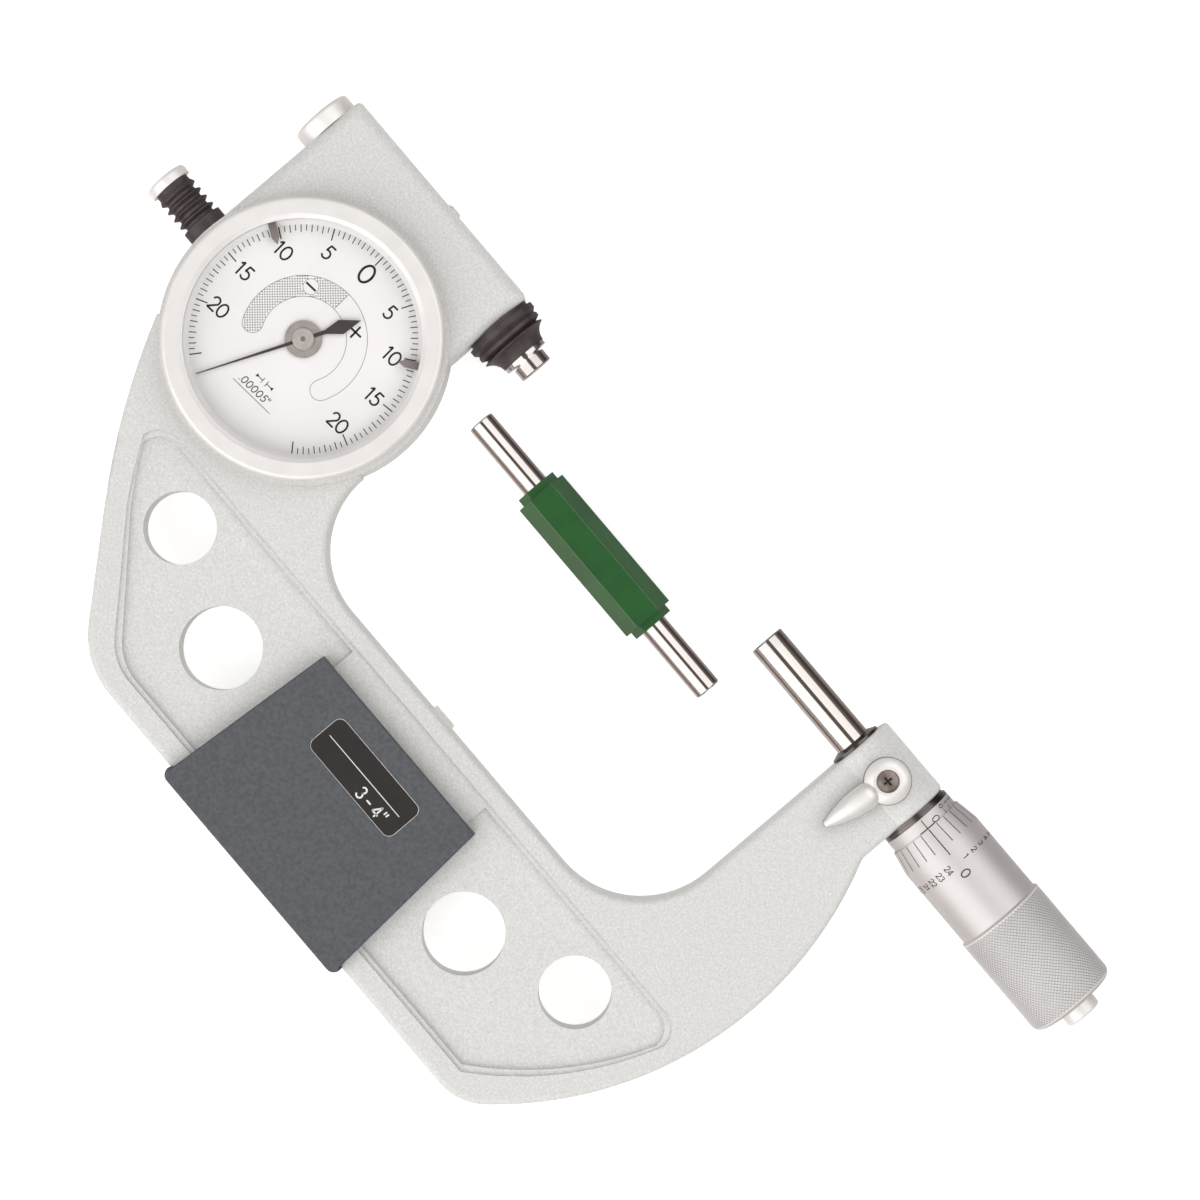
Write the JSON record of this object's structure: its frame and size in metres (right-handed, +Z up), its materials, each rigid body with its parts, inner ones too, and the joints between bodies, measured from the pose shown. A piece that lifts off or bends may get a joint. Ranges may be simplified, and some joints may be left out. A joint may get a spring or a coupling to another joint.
{
  "type": "indicating micrometer",
  "caption": "Outside micrometer with a dial indicator built into its bow frame, lying on its back beside a gripped rod-shaped setting standard.",
  "frame": {"origin": "centre of the anvil's measuring face, on the measuring line", "axes": "+X along the measuring line from the anvil to the spindle and thimble, -Y down into the bow, +Z up out of the dial"},
  "size_m": [0.2654, 0.1274, 0.0244],
  "materials": {
    "mottled_enamel": "fine mottled light grey enamel",
    "slate_plastic": "fine matt grain",
    "dark_label": "satin, printed in white",
    "blackened_steel": "blackened",
    "satin_white_metal": "satin",
    "bronze": "reamed",
    "mirror_chrome": "mirror polished",
    "carbide": "lapped",
    "satin_chrome": "satin",
    "tool_steel": "ground",
    "dark_rubber": "matt",
    "spring_steel": "drawn",
    "brass": "grained",
    "dial_white": "matt, printed in black",
    "ring_grey": "matt",
    "clear_crystal": "polished",
    "hand_grey": "satin",
    "needle_black": "satin",
    "green_plastic": "satin"
  },
  "bodies": {
    "frame": {"frame": "mottled_enamel", "insulating_plate_front": "slate_plastic", "insulating_plate_back": "slate_plastic", "label_plate": "dark_label", "insulating_plate_screws": "blackened_steel", "throat_stop": "mottled_enamel", "back_cover": "mottled_enamel", "back_cover_screws": "blackened_steel", "side_plug": "satin_white_metal", "anvil_end_cap": "satin_white_metal", "anvil_bush_front": "bronze", "anvil_bush_rear": "bronze", "anvil_bellows": "dark_rubber", "anvil_spring": "spring_steel", "button_bellows": "dark_rubber", "button_spring": "spring_steel", "lifting_lever_pin": "tool_steel", "movement_plate_rear": "brass", "movement_plate_front": "brass", "movement_pillars": "brass", "movement_screws": "tool_steel", "hairspring": "spring_steel", "dial_face": "dial_white", "dial_ring": "ring_grey", "bezel": "satin_white_metal", "crystal": "clear_crystal", "crystal_gasket": "dark_rubber", "spindle_nose_ring": "satin_chrome", "inner_sleeve": "tool_steel", "adjusting_nut": "tool_steel", "seal_ring": "dark_rubber", "graduated_sleeve": "satin_chrome"},
    "anvil": {"anvil": "mirror_chrome", "anvil_tip": "carbide", "bellows_clamp_ring": "satin_chrome", "anvil_driver": "tool_steel"},
    "button": {"retract_plunger": "mirror_chrome", "retract_button_cap": "satin_white_metal"},
    "lifting_lever": {"lifting_lever": "tool_steel"},
    "lever_sector": {"lever_sector": "brass"},
    "gear_sector": {"gear_sector": "brass"},
    "pointer": {"pointer_arbor": "tool_steel", "pointer": "needle_black", "pointer_hub_disc": "needle_black", "pointer_hub_cap": "satin_chrome"},
    "low_hand": {"low_limit_hand": "hand_grey"},
    "high_hand": {"high_limit_hand": "hand_grey"},
    "clamp": {"clamp_lever": "satin_white_metal", "clamp_bolt": "tool_steel", "clamp_screw": "satin_chrome"},
    "spindle": {"spindle": "mirror_chrome", "spindle_tip": "carbide"},
    "thimble": {"thimble": "satin_chrome", "thimble_end_knob": "satin_chrome"},
    "standard": {"standard_rod": "mirror_chrome", "standard_grip": "green_plastic"}
  },
  "joints": [
    {"name": "anvil_slide", "type": "slide", "parent": "frame", "child": "anvil", "axis": [-1, 0, 0], "range_m": [0, 0.002], "stiffness_N_per_m": 1500, "springref_m": -0.003, "deforming": ["anvil_bellows", "anvil_spring"]},
    {"name": "button_slide", "type": "slide", "parent": "frame", "child": "button", "axis": [1, 0, 0], "range_m": [0, 0.002], "deforming": ["button_bellows", "button_spring"]},
    {"name": "lifting_lever_turn", "type": "hinge", "parent": "frame", "child": "lifting_lever", "pos_m": [-0.04745, -0.0195, 0], "axis": [0, 0, 1], "range_deg": [0, 7.8]},
    {"name": "pointer_turn", "type": "hinge", "parent": "frame", "child": "pointer", "pos_m": [-0.0368, -0.0339, 0], "axis": [0, 0, 1], "range_deg": [-304, 0], "stiffness_Nm_per_rad": 0.000001, "springref_deg": 28.65, "deforming": ["hairspring"]},
    {"name": "gear_turn", "type": "hinge", "parent": "frame", "child": "gear_sector", "pos_m": [-0.02594, -0.02181, 0], "axis": [0, 0, 1], "range_deg": [0, 25.4]},
    {"name": "lever_turn", "type": "hinge", "parent": "frame", "child": "lever_sector", "pos_m": [-0.0399, -0.0135, 0], "axis": [0, 0, 1], "range_deg": [-2.12, 0]},
    {"name": "low_hand_turn", "type": "hinge", "parent": "frame", "child": "low_hand", "pos_m": [-0.0368, -0.0339, 0], "axis": [0, 0, 1], "range_deg": [-59.2, 82]},
    {"name": "high_hand_turn", "type": "hinge", "parent": "frame", "child": "high_hand", "pos_m": [-0.0368, -0.0339, 0], "axis": [0, 0, 1], "range_deg": [-82, 59.3]},
    {"name": "clamp_turn", "type": "hinge", "parent": "frame", "child": "clamp", "pos_m": [0.1156, 0, 0], "axis": [0, 0, 1], "range_deg": [-40, 0]},
    {"name": "spindle_slide", "type": "slide", "parent": "frame", "child": "spindle", "axis": [1, 0, 0], "range_m": [0, 0.0254]},
    {"name": "thimble_turn", "type": "hinge", "parent": "spindle", "child": "thimble", "pos_m": [0.14, 0, 0], "axis": [1, 0, 0], "range_deg": [0, 14400]},
    {"name": "standard_lift", "type": "slide", "parent": "frame", "child": "standard", "axis": [0, 0, 1], "range_m": [0, 0.04]}
  ],
  "couplings": [
    {"joint": "button_slide", "follows": "anvil_slide", "ratio": 1},
    {"joint": "lifting_lever_turn", "follows": "anvil_slide", "rad_per_m": 67.567},
    {"joint": "gear_turn", "follows": "pointer_turn", "ratio": -0.083333},
    {"joint": "lever_turn", "follows": "pointer_turn", "ratio": 0.0069444},
    {"joint": "thimble_turn", "follows": "spindle_slide", "rad_per_m": 9894.7}
  ]
}
